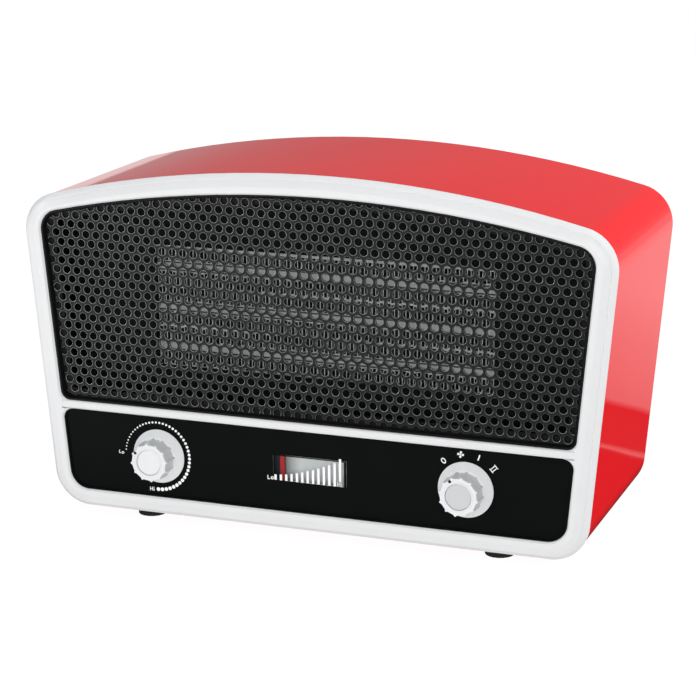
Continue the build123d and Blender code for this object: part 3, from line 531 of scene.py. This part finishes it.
def clear_window(name):
    """A thin clear pane: what is behind it shows, under a faint gloss."""
    material, shader = new_material(name, pane_tint, pane_roughness)
    tree = material.node_tree
    clear = tree.nodes.new("ShaderNodeBsdfTransparent")
    clear.inputs["Color"].default_value = (*pane_tint, 1)
    gloss = tree.nodes.new("ShaderNodeBsdfGlossy")
    gloss.inputs["Roughness"].default_value = pane_roughness
    fresnel = tree.nodes.new("ShaderNodeFresnel")
    fresnel.inputs["IOR"].default_value = pane_index
    pane = mixed(tree, fresnel.outputs["Fac"], clear.outputs["BSDF"], gloss.outputs["BSDF"])
    tree.links.new(pane, tree.nodes["Material Output"].inputs["Surface"])
    tree.nodes.remove(shader)
    return material


def graded_plate(name):
    """Pale plate that darkens towards its left end."""
    material, shader = new_material(name, plate_pale, plate_roughness)
    tree = material.node_tree
    low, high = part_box("light_plate")
    along = scaled(tree, axes(tree, "Object")["X"], low.x, high.x)
    colours = tint(tree, along, plate_dark, plate_pale, plate_fade)
    tree.links.new(colours, shader.inputs["Base Color"])
    bump(tree, shader, noise(tree, plate_grain, grain_detail), plate_relief)
    return material


# Each row gives a colour, a roughness, a grain in waves per metre and its height in metres. Rows of
# a pattern give lines instead of a grain: their scale, their direction and their depth.
finishes = {
    "pearl_white": finish("pearl_white", (0.80, 0.80, 0.805), 0.34, 2500, 0.0000008,
                          contrast=0.012, metallic=0.1),
    "gloss_red": finish("gloss_red", (0.92, 0.012, 0.018), 0.04, 260, 0.000001,
                        contrast=0.02, patch=12),
    "grille_black": finish("grille_black", (0.011, 0.014, 0.013), 0.38, 1800, 0.000012,
                           specular=0.4),
    # Black plastic, made deeper than its own colour as painted shade inside the housing
    "duct_black": finish("duct_black", (0.005, 0.005, 0.005), 0.6, 1500, 0.00002),
    "panel_black": finish("panel_black", (0.005, 0.0056, 0.0054), 0.07, 300, 0.000001,
                          specular=0.07),
    "window_clear": clear_window("window_clear"),
    "light_plate": graded_plate("light_plate"),
    "needle_red": finish("needle_red", (0.62, 0.02, 0.025), 0.4, 1200, 0.00001),
    "mechanism": finish("mechanism", (0.72, 0.71, 0.66), 0.45, 1200, 0.00001),
    "knob_grey": finish("knob_grey", (0.76, 0.77, 0.78), 0.3, 2200, 0.000005, contrast=0.015),
    # Black heat-proof plastic, made deeper than its own colour as painted shade behind the sheet
    "heat_plastic": finish("heat_plastic", (0.010, 0.010, 0.010), 0.55, 1500, 0.00003),
    "cover_black": finish("cover_black", (0.022, 0.022, 0.024), 0.5, 1400, 0.00004),
    "ceramic": finish("ceramic", (0.52, 0.52, 0.51), 0.7, 900, 0.00004),
    "fin_aluminium": finish("fin_aluminium", (0.66, 0.67, 0.68), 0.4, 700, 0.00001,
                            metallic=0.25),
    "steel": finish("steel", (0.60, 0.60, 0.61), 0.3, 900, 0.00001, metallic=1.0),
    "lamination": pattern("lamination", (0.32, 0.32, 0.34), 0.42, 320, "Y", 0.0001,
                          metallic=0.9),
    "copper": pattern("copper", (0.62, 0.24, 0.09), 0.35, 500, "X", 0.0002, metallic=0.8),
    "brass_tab": finish("brass_tab", (0.70, 0.56, 0.26), 0.3, 900, 0.00001, metallic=1.0),
    "white_plastic": finish("white_plastic", (0.82, 0.82, 0.80), 0.45, 1500, 0.00001),
    "foot_rubber": finish("foot_rubber", (0.014, 0.014, 0.014), 0.75, 2500, 0.00004),
}
print_white = finish("print_white", (0.92, 0.92, 0.92), 0.55, 3000, 0.000003, contrast=0.02)
# Bright metal for the rounded hole edges: painted highlight for the arcs of light round the holes
edge_highlight = finish("edge_highlight", (0.8, 0.81, 0.81), 0.26, 1800, 0.000008, metallic=1.0)
# Dark finish for the fins' side faces: painted shade, so the fins look lit only on their front
# edges
fin_shade = finish("fin_shade", (0.10, 0.10, 0.105), 0.5, 700, 0.00001, metallic=0.25)
# Electrode plates painted dark grey: painted shade in the gaps between the fin strips
electrode_shade = finish("electrode_shade", (0.09, 0.09, 0.09), 0.5, 700, 0.00001,
                        metallic=0.25)
screw_black = finish("screw_black", (0.02, 0.02, 0.021), 0.45, 1500, 0.00001)
cap_grey = finish("cap_grey", (0.58, 0.59, 0.60), 0.35, 2200, 0.000005, contrast=0.015)
dot_black = finish("dot_black", (0.006, 0.006, 0.006), 0.4, 3000, 0.000003, contrast=0.02)

# Nodes with a finish of their own, in place of their slot's
node_finishes = {
    "heater_screws": screw_black,
    "baffle_screws": screw_black,
    "electrode_plates": electrode_shade,
    "switch_knob_cap": cap_grey,
}


def dress_nodes():
    """Every carried-over node gets the finish of its slot, or its own."""
    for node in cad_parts.values():
        slot_name = node.data.materials[0].name
        node.data.materials.clear()
        node.data.materials.append(finishes[slot_name.split(".")[0]])
    for name, material in node_finishes.items():
        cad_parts[name].data.materials[0] = material


def soften_edges():
    """Small roundings on the moulded edges that the light catches."""
    for name, width in edge_roundings.items():
        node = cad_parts[name]
        node.modifiers.new("joined", "WELD").merge_threshold = weld_distance
        edge = node.modifiers.new("rounded", "BEVEL")
        edge.width = width
        edge.segments = rounding_steps
        edge.limit_method = "ANGLE"
        edge.angle_limit = rounding_turn
        edge.harden_normals = True


# Perforated sheet


def corner_arc(x, z, radius, start, end):
    """Points of a rounded corner, its angles measured from X towards Z."""
    points = []
    for step in range(corner_steps + 1):
        angle = start + (end - start) * step / corner_steps
        points.append((x + radius * cos(angle), z + radius * sin(angle)))
    return points


def arch_outline(floor_half_width, low, crown, crown_radius, top_corner, low_corner):
    """Front-view outline with leaning sides, rounded corners and an arched top."""
    lean = tan(side_lean)
    slant = sqrt(1 + lean ** 2)
    centre = crown - crown_radius
    low_z = low + low_corner
    low_x = floor_half_width + lean * low_z - low_corner * slant
    # The middle of the top corner is one corner radius away from both the side and the crown. Its
    # height z solves slant ** 2 * z ** 2 + 2 * linear * z + constant = 0.
    inner = floor_half_width - top_corner * slant
    linear = inner * lean - centre
    constant = inner ** 2 + centre ** 2 - (crown_radius - top_corner) ** 2
    top_z = (sqrt(linear ** 2 - slant ** 2 * constant) - linear) / slant ** 2
    top_x = inner + lean * top_z
    top_angle = atan2(top_z - centre, top_x)
    right = corner_arc(low_x, low_z, low_corner, -pi / 2, -side_lean)
    right += corner_arc(top_x, top_z, top_corner, -side_lean, top_angle)
    for step in range(1, crown_steps):
        angle = top_angle + (pi / 2 - top_angle) * step / crown_steps
        right.append((crown_radius * cos(angle), centre + crown_radius * sin(angle)))
    left = [(-x, z) for x, z in reversed(right)]
    return right + [(0, crown)] + left


def hole_places(low, high):
    """Centres of the holes whose edges can reach the sheet."""
    reach_x = max(-low.x, high.x) + hole_pitch
    columns = int(2 * reach_x / hole_pitch)
    rows = int((high.z - low.z) / hole_row)
    places = []
    for row in range(-rows, rows + 1):
        for column in range(-columns, columns + 1):
            along = column * hole_pitch - row * hole_row_shift
            up = row * hole_row
            x = hole_centre[0] + along * cos(hole_turn) - up * sin(hole_turn)
            z = hole_centre[1] + along * sin(hole_turn) + up * cos(hole_turn)
            if abs(x) < reach_x and low.z - hole_pitch < z < high.z + hole_pitch:
                places.append((x, z))
    return places


def hole_cutters(low, high):
    """Solids to cut the holes with, wider where the sheet's front edge is rounded."""
    front, back = low.y, high.y
    halfway = hole_round * (1 - sin(pi / 4))
    profile = [
        (front - hole_round, hole_radius + hole_round),
        (front, hole_radius + hole_round),
        (front + halfway, hole_radius + halfway),
        (front + hole_round, hole_radius),
        (back + hole_round, hole_radius),
    ]
    bm = bmesh.new()
    for x, z in hole_places(low, high):
        band(bm, circle_loops(x, z, profile, hole_sides))
    return from_bmesh("hole_cutters", bm)


def make_sheet():
    """Thin steel sheet with staggered round holes, whose front edges are rounded and painted bright
    as a highlight.
    """
    low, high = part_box("front_grille")
    outline = arch_outline(sheet_floor_half_width, low.z, high.z, sheet_crown_radius,
                           sheet_top_corner, sheet_low_corner)
    bm = bmesh.new()
    prism(bm, outline, low.y, high.y)
    sheet = from_bmesh("perforated_sheet", bm)
    cut(sheet, hole_cutters(low, high))
    smooth(sheet, sheet_sharp_turn)
    dress(sheet, finishes["grille_black"], "housing", ["front_grille"])
    sheet.data.materials.append(edge_highlight)
    least, most = hole_edge_facing
    for face in sheet.data.polygons:
        if least < face.normal.y < most and face.center.y < low.y + hole_round:
            face.material_index = 1
    sheet.modifiers.new("even_shading", "WEIGHTED_NORMAL").keep_sharp = True


# Heating element


def fin_path(left, right, low, high):
    """Square wave with cut corners, from the left end to the right end."""
    path = []
    count = int((right - left) / fin_leg_pitch)
    for leg in range(count + 1):
        x = left + leg * fin_leg_pitch
        first, last = (low, high) if leg % 2 == 0 else (high, low)
        away = 1 if last > first else -1
        path.append((x - fin_bend / 2, first))
        path.append((x, first + away * fin_bend))
        path.append((x, last - away * fin_bend))
        path.append((x + fin_bend / 2, last))
    return path[1:-1]


def make_fins():
    """Two folded strips for each bar, each strip between two thin bands on its folds."""
    low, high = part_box("heat_fins")
    plates_low, plates_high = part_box("electrode_plates")
    bars_low, bars_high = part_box("ceramic_bars")
    bars_rise = bars_high.z - bars_low.z
    unit = (high.z - low.z) / element_bars
    ceramic = bars_rise - (element_bars - 1) * unit
    electrode = (plates_high.z - plates_low.z - bars_rise) / 2
    strip = (unit - ceramic - 2 * electrode) / 2
    inset = fin_band + fin_sheet / 2
    bm = bmesh.new()
    for number in range(element_bars):
        base = low.z + number * unit
        for bottom in (base, base + unit - strip):
            top = bottom + strip
            path = fin_path(low.x, high.x, bottom + inset, top - inset)
            ribbon(bm, path, fin_sheet, low.y, high.y)
            for z in (bottom, top - fin_band):
                prism(bm, rectangle(low.x, high.x, z, z + fin_band), low.y, high.y)
    fins = from_bmesh("folded_fins", bm)
    dress(fins, finishes["fin_aluminium"], "housing", ["heat_fins"])
    fins.data.materials.append(fin_shade)
    for face in fins.data.polygons:
        if abs(face.normal.y) < shade_facing_limit:
            face.material_index = 1


def make_clip():
    """Thin bright strip on the baffle, over the top edge of the element."""
    low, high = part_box("heat_fins")
    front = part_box("heater_baffle")[0].y
    bottom = high.z - clip_overhang
    bm = bmesh.new()
    prism(bm, rectangle(low.x, high.x, bottom, bottom + clip_height), front - clip_sheet, front)
    clip = from_bmesh("element_clip", bm)
    dress(clip, finishes["fin_aluminium"], "housing")


# Knobs


def grip_radius(angle, base, ridge):
    """Radius of the grip at an angle: flats between upright ridges at the corners."""
    sector = 2 * pi / flat_count
    off = (angle + sector / 2) % sector - sector / 2
    from_middle = sector / 2 - abs(off)
    flat = base * cos(sector / 2) / cos(from_middle)
    if abs(off) > ridge_half_angle:
        return flat
    swell = cos(off / ridge_half_angle * pi / 2)
    return flat + ridge * sqrt(max(0.0, swell))


def grip_loop(x, z, y, base, ridge, turn):
    """The grip's outline at one depth."""
    loop = []
    for step in range(knob_steps):
        angle = 2 * pi * step / knob_steps
        px, pz = on_dial(x, z, grip_radius(angle - turn, base, ridge), angle)
        loop.append((px, y, pz))
    return loop


def skirt_profile(back, foot):
    """Depths and radii of the skirt, from its back to the foot of the grip."""
    front = back - skirt_edge
    foot_radius = grip_base + ridge_height + skirt_round
    return [
        (back, skirt_radius - skirt_round),
        (back - skirt_round, skirt_radius),
        (front + skirt_round, skirt_radius),
        (front, skirt_radius - skirt_round),
        (foot + skirt_round, foot_radius + skirt_round),
        (foot, foot_radius),
    ]


def grip_profile(foot, rim):
    """Depths, radii and ridge heights of the grip, from its foot over its rounded rim."""
    shoulder = rim + grip_round
    profile = [(foot - skirt_round / 2, grip_base, ridge_height)]
    for share in grip_sections:
        y = foot + (shoulder - foot) * share
        profile.append((y, grip_base + (grip_tip - grip_base) * share, ridge_height))
    for bend in rim_bends:
        y = rim + grip_round * (1 - sin(bend))
        base = grip_tip - grip_round * (1 - cos(bend))
        profile.append((y, base, ridge_height * (1 - bend / ridge_end_bend)))
    return profile


def ring_profile(front, cap_back):
    """Depths and radii of the raised ring, from outside it over its front to the cap's back."""
    profile = []
    for radius, section in ((ring_outer, ring_outer_section), (ring_inner, ring_inner_section)):
        for behind, outside in section:
            profile.append((front + behind * ring_rise, radius + outside * ring_rise))
    return profile + [(cap_back, ring_inner)]


def make_knob(node, cap, body, dot_angle, ridge_turn):
    """Knob with a conical skirt, a ridged grip and a raised ring round its cap, and its dot."""
    low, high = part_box(node)
    cap_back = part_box(cap)[1].y
    x, z = middle(low, high)
    rim = low.y + rim_setback
    foot = high.y - skirt_edge - skirt_rise
    loops = circle_loops(x, z, skirt_profile(high.y, foot), knob_steps)
    for y, base, ridge in grip_profile(foot, rim):
        loops.append(grip_loop(x, z, y, base, ridge, ridge_turn))
    loops += circle_loops(x, z, ring_profile(low.y, cap_back), knob_steps)
    bm = bmesh.new()
    band(bm, loops)
    knob = from_bmesh(node + "_moulding", bm)
    smooth(knob, knob_sharp_turn)
    dress(knob, finishes["knob_grey"], body, [node])
    bm = bmesh.new()
    outline = circle(*on_dial(x, z, dot_place, dot_angle), dot_radius, dot_sides)
    prism(bm, outline, rim - print_thickness, rim + dot_sink)
    dress(from_bmesh(node + "_dot", bm), dot_black, body)


# Printed marks


def print_depths():
    """Front and back of the ink on the control panel, whose face the window is level with."""
    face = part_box("window_lens")[0].y
    return face - print_thickness, face + print_sink


def mark_frame(x, z, turn):
    """Function that turns a mark's own points about its middle and puts them in place."""
    def placed(points):
        return [
            (x + u * cos(turn) + w * sin(turn), z - u * sin(turn) + w * cos(turn))
            for u, w in points
        ]
    return placed


def draw(bm, strokes, size, placed, line):
    """Open strokes of a mark, enlarged to its size."""
    for stroke in strokes:
        points = [(u * size, w * size) for u, w in stroke]
        ribbon(bm, placed(points), line, *print_depths())


def write(bm, word, x, z, layout):
    """A word beside a point."""
    right, up, turn, height, line = layout
    placed = mark_frame(x + right, z + up, turn)
    draw(bm, words[word]["strokes"], height, placed, line)
    for width, u, w in words[word]["rings"]:
        ring = oval(u * height, w * height, width * height, width * height, letter_sides)
        ribbon(bm, placed(ring), line, *print_depths(), closed=True)


def make_thermostat_scale():
    """Arc of dots that grow from Lo to Hi."""
    middle_x, middle_z = middle(*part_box("thermostat_knob"))
    x, z = middle_x + scale_shift[0], middle_z + scale_shift[1]
    bm = bmesh.new()
    for number in range(scale_dots):
        share = number / (scale_dots - 1)
        grown = share * (1 - scale_spreading + scale_spreading * share)
        angle = scale_start + (scale_end - scale_start) * grown
        radius = scale_first + (scale_last - scale_first) * share
        dot = circle(*on_dial(x, z, scale_radius, angle), radius, scale_dot_sides)
        prism(bm, dot, *print_depths())
    write(bm, "Lo", x, z, scale_low)
    write(bm, "Hi", x, z, scale_high)
    scale = from_bmesh("thermostat_scale", bm)
    dress(scale, print_white, "housing")


def fan_blade(number):
    """One full blade of the fan sign, wide at its tip."""
    turn = 2 * pi / blade_count * number
    blade = [(0.0, 0.0)]
    for share, degrees in blade_corners:
        blade.append(on_dial(0.0, 0.0, fan_reach * share, turn + radians(degrees)))
    return blade


def make_switch_marks():
    """Signs for off, fan and the two heats round the switch knob."""
    middle_x, middle_z = middle(*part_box("switch_knob"))
    x, z = middle_x + mark_shift[0], middle_z + mark_shift[1]
    at_off, at_fan, at_one, at_two = [
        mark_frame(*on_dial(x, z, mark_radius, angle), angle) for angle in mark_angles
    ]
    bm = bmesh.new()
    ring = oval(0.0, 0.0, off_width, off_height, off_sides)
    ribbon(bm, at_off(ring), off_line, *print_depths(), closed=True)
    for number in range(blade_count):
        prism(bm, at_fan(fan_blade(number)), *print_depths())
    draw(bm, one_strokes, mark_height, at_one, one_line)
    draw(bm, two_strokes, mark_height, at_two, two_line)
    marks = from_bmesh("switch_marks", bm)
    dress(marks, print_white, "housing")


def make_window_scale():
    """White bars on the window that grow to the right."""
    low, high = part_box("window_lens")
    bottom = (low.z + high.z) / 2 - bars_below_middle
    last = bar_count - 1
    bm = bmesh.new()
    for number in range(bar_count):
        share = number / last
        foot = bottom + bar_foot
        length = bar_shortest + bar_growth * share ** bar_curve
        if number == last:
            foot += last_bar_lift
            length = last_bar_length
        left = bar_first_x + (bar_last_x - bar_first_x) * share - bar_width / 2
        prism(bm, rectangle(left, left + bar_width, foot, foot + length), *print_depths())
    write(bm, "Lo", bar_first_x, bottom, window_low)
    write(bm, "Hi", bar_last_x, bottom, window_high)
    scale = from_bmesh("window_scale", bm)
    dress(scale, print_white, "housing")


def make_window_mask():
    """Black print that narrows the window at its top and its right end."""
    low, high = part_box("window_lens")
    left, right = low.x + window_flange, high.x - window_flange
    bottom, top = low.z + window_flange, high.z - window_flange
    inner_right, inner_top = right - mask_right, top - mask_top
    outline = [(left, top), (left, inner_top), (inner_right, inner_top),
               (inner_right, bottom), (right, bottom), (right, top)]
    bm = bmesh.new()
    prism(bm, outline, low.y - mask_thickness, low.y + print_sink)
    mask = from_bmesh("window_mask", bm)
    dress(mask, finishes["panel_black"], "housing")


# Scene


def make_camera():
    """Camera at the photograph's point of view."""
    camera = bpy.data.cameras.new("camera")
    camera.lens = camera_lens
    holder = link("camera", camera)
    turn = Matrix.Rotation(camera_turn, 4, "Z")
    tilt = Matrix.Rotation(pi / 2 + camera_tilt, 4, "X")
    roll = Matrix.Rotation(camera_roll, 4, "Z")
    holder.matrix_world = Matrix.Translation(camera_place) @ turn @ tilt @ roll
    bpy.context.scene.camera = holder


def table_glow(tree):
    """The table and what lies behind it, with edges that wave a little."""
    bend = tree.nodes.new("ShaderNodeMath")
    bend.operation = "MULTIPLY_ADD"
    bend.inputs[1].default_value = table_bend
    tree.links.new(noise(tree, table_waves, grain_detail), bend.inputs[0])
    tree.links.new(axes(tree, "Object")["Y"], bend.inputs[2])
    back = scaled(tree, bend.outputs["Value"], 0.0, table_depth)
    return glow(tree, "Emission", grey_ramp(tree, back, table_stops))


def card_share(tree):
    """1 on the card before the heater and left of it, and 0 elsewhere."""
    place = axes(tree, "Object")
    either = tree.nodes.new("ShaderNodeMath")
    either.operation = "MAXIMUM"
    tree.links.new(scaled(tree, place["Y"], *card_far_edge), either.inputs[0])
    tree.links.new(scaled(tree, place["X"], *card_right_edge), either.inputs[1])
    return either.outputs["Value"]


def make_floor():
    """White floor. Reflections see a dark table, a paler one behind it, and a card."""
    bm = bmesh.new()
    corners = rectangle(-floor_half, floor_half, -floor_half, floor_half)
    bm.faces.new([bm.verts.new((x, y, 0)) for x, y in corners])
    floor = from_bmesh("floor", bm)
    paint = (floor_reflects, floor_reflects, floor_reflects)
    material, shader = new_material("floor_white", paint, roughness=1.0, specular=0.0)
    shader.inputs["Emission Color"].default_value = full_white
    shader.inputs["Emission Strength"].default_value = floor_glow
    tree = material.node_tree
    bounce = tree.nodes.new("ShaderNodeEmission")
    bounce.inputs["Strength"].default_value = floor_bounce
    across = scaled(tree, axes(tree, "Object")["X"], *card_span)
    card = glow(tree, "Emission", grey_ramp(tree, across, card_stops))
    mirrored = mixed(tree, card_share(tree), table_glow(tree), card)
    unseen = by_ray(tree, "Is Glossy Ray", bounce.outputs["Emission"], mirrored)
    seen = by_ray(tree, "Is Camera Ray", unseen, shader.outputs["BSDF"])
    tree.links.new(seen, tree.nodes["Material Output"].inputs["Surface"])
    floor.data.materials.append(material)


def make_world():
    """White backdrop. Reflections see a grey studio that is darkest some way up."""
    world = bpy.data.worlds.new("studio")
    world.use_nodes = True
    tree = world.node_tree
    soft = tree.nodes["Background"]
    soft.inputs["Color"].default_value = (*world_colour, 1)
    soft.inputs["Strength"].default_value = world_light
    white = tree.nodes.new("ShaderNodeBackground")
    white.inputs["Color"].default_value = full_white
    height = scaled(tree, axes(tree, "Generated")["Z"], *studio_span)
    studio = glow(tree, "Background", grey_ramp(tree, height, studio_stops))
    unseen = by_ray(tree, "Is Glossy Ray", soft.outputs["Background"], studio)
    seen = by_ray(tree, "Is Camera Ray", unseen, white.outputs["Background"])
    tree.links.new(seen, tree.nodes["World Output"].inputs["Surface"])
    bpy.context.scene.world = world
    bpy.context.scene.view_settings.view_transform = "Standard"


def make_lights():
    """Rectangular lights that all aim at the heater."""
    for name, (place, width, height, power, mirrored) in lights.items():
        light = bpy.data.lights.new(name, "AREA")
        light.shape = "RECTANGLE"
        light.size = width
        light.size_y = height
        light.energy = power
        holder = link(name, light)
        holder.location = place
        holder.visible_glossy = mirrored
        towards = Vector(light_aim) - Vector(place)
        holder.rotation_euler = towards.to_track_quat("-Z", "Y").to_euler()


dress_nodes()
soften_edges()
make_sheet()
make_fins()
make_clip()
make_knob("thermostat_knob", "thermostat_knob_cap", "thermostat_control", thermostat_dot,
          thermostat_ridge)
make_knob("switch_knob", "switch_knob_cap", "switch_control", switch_dot, switch_ridge)
make_thermostat_scale()
make_switch_marks()
make_window_scale()
make_window_mask()
make_camera()
make_floor()
make_world()
make_lights()
